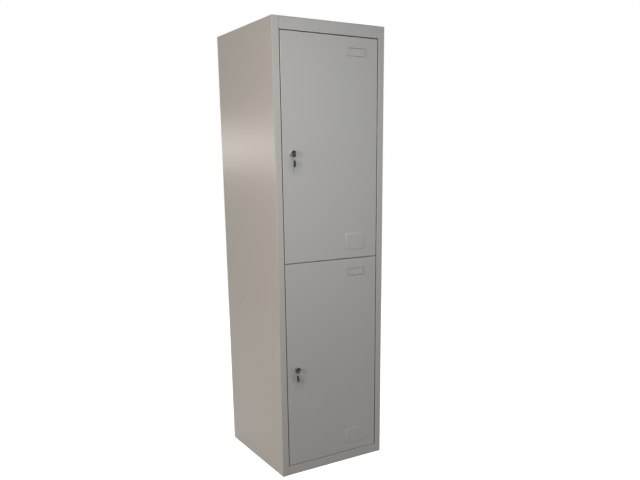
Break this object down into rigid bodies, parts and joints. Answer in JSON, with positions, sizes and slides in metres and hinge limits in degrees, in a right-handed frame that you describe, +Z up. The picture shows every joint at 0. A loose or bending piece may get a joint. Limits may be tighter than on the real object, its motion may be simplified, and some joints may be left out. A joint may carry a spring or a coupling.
{
  "type": "metal locker",
  "caption": "Free-standing two-tier locker of painted sheet steel with inset doors on concealed pivots, cam locks with keys, card holders, a shelf and coat rods.",
  "frame": {"origin": "on the floor, in the middle of the footprint of the locker and its keys", "axes": "+Z up, -Y towards someone who faces the doors, +X to their right"},
  "size_m": [0.5, 0.5324, 1.8],
  "materials": {
    "paint": "grey powder coat, satin",
    "paint_inside": "grey powder coat, satin",
    "chrome": "satin plated",
    "steel": "plain",
    "zinc": "zinc plated",
    "black_plastic": "moulded, fine grain",
    "nylon": "natural",
    "rubber": "matt"
  },
  "bodies": {
    "cabinet": {"back_panel": "paint", "base_panel": "paint_inside", "bottom_pivot_pin": "steel", "bottom_rail": "paint", "compartment_shelf": "paint_inside", "left_side_panel": "paint", "lower_coat_rod": "chrome", "lower_door_bottom_buffer": "rubber", "lower_door_top_buffer": "rubber", "lower_left_cradle": "zinc", "lower_right_cradle": "zinc", "middle_pivot_pin": "steel", "middle_pivot_plate": "steel", "middle_rail": "paint", "right_side_panel": "paint", "top_panel": "paint", "top_pivot_pin": "steel", "top_rail": "paint", "upper_coat_rod": "chrome", "upper_door_bottom_buffer": "rubber", "upper_door_top_buffer": "rubber", "upper_left_cradle": "zinc", "upper_right_cradle": "zinc"},
    "upper_door": {"upper_card_holder": "paint", "upper_door_bottom_bush": "nylon", "upper_door_skin": "paint", "upper_door_stiffener": "paint_inside", "upper_door_top_bush": "nylon", "upper_lock_barrel": "chrome", "upper_lock_nut": "zinc"},
    "lower_door": {"lower_card_holder": "paint", "lower_door_bottom_bush": "nylon", "lower_door_skin": "paint", "lower_door_stiffener": "paint_inside", "lower_door_top_bush": "nylon", "lower_lock_barrel": "chrome", "lower_lock_nut": "zinc"},
    "upper_lock": {"upper_cam_screw": "zinc", "upper_key_blade": "chrome", "upper_key_head": "black_plastic", "upper_lock_cam": "zinc", "upper_lock_plug": "chrome"},
    "lower_lock": {"lower_cam_screw": "zinc", "lower_key_blade": "chrome", "lower_key_head": "black_plastic", "lower_lock_cam": "zinc", "lower_lock_plug": "chrome"},
    "upper_keys": {"upper_key_ring": "steel", "upper_spare_key_blade": "steel", "upper_spare_key_head": "black_plastic"},
    "lower_keys": {"lower_key_ring": "steel", "lower_spare_key_blade": "steel", "lower_spare_key_head": "black_plastic"}
  },
  "joints": [
    {"name": "upper_door_swing", "type": "hinge", "parent": "cabinet", "child": "upper_door", "pos_m": [0.209, -0.22628, 1.32525], "axis": [0, 0, 1], "range_deg": [0, 110]},
    {"name": "upper_lock_turn", "type": "hinge", "parent": "upper_door", "child": "upper_lock", "pos_m": [-0.178, -0.23328, 1.31725], "axis": [0, 1, 0], "range_deg": [-90, 90]},
    {"name": "upper_keys_swing", "type": "hinge", "parent": "upper_lock", "child": "upper_keys", "pos_m": [-0.178, -0.25478, 1.31725], "axis": [-1, 0, 0], "range_deg": [-10, 75]},
    {"name": "lower_door_swing", "type": "hinge", "parent": "cabinet", "child": "lower_door", "pos_m": [0.209, -0.22628, 0.46875], "axis": [0, 0, 1], "range_deg": [0, 110]},
    {"name": "lower_lock_turn", "type": "hinge", "parent": "lower_door", "child": "lower_lock", "pos_m": [-0.178, -0.23328, 0.46075], "axis": [0, 1, 0], "range_deg": [-135, 45]},
    {"name": "lower_keys_swing", "type": "hinge", "parent": "lower_lock", "child": "lower_keys", "pos_m": [-0.178, -0.25478, 0.46075], "axis": [-0.9781, 0, 0.2079], "range_deg": [-10, 75]}
  ]
}
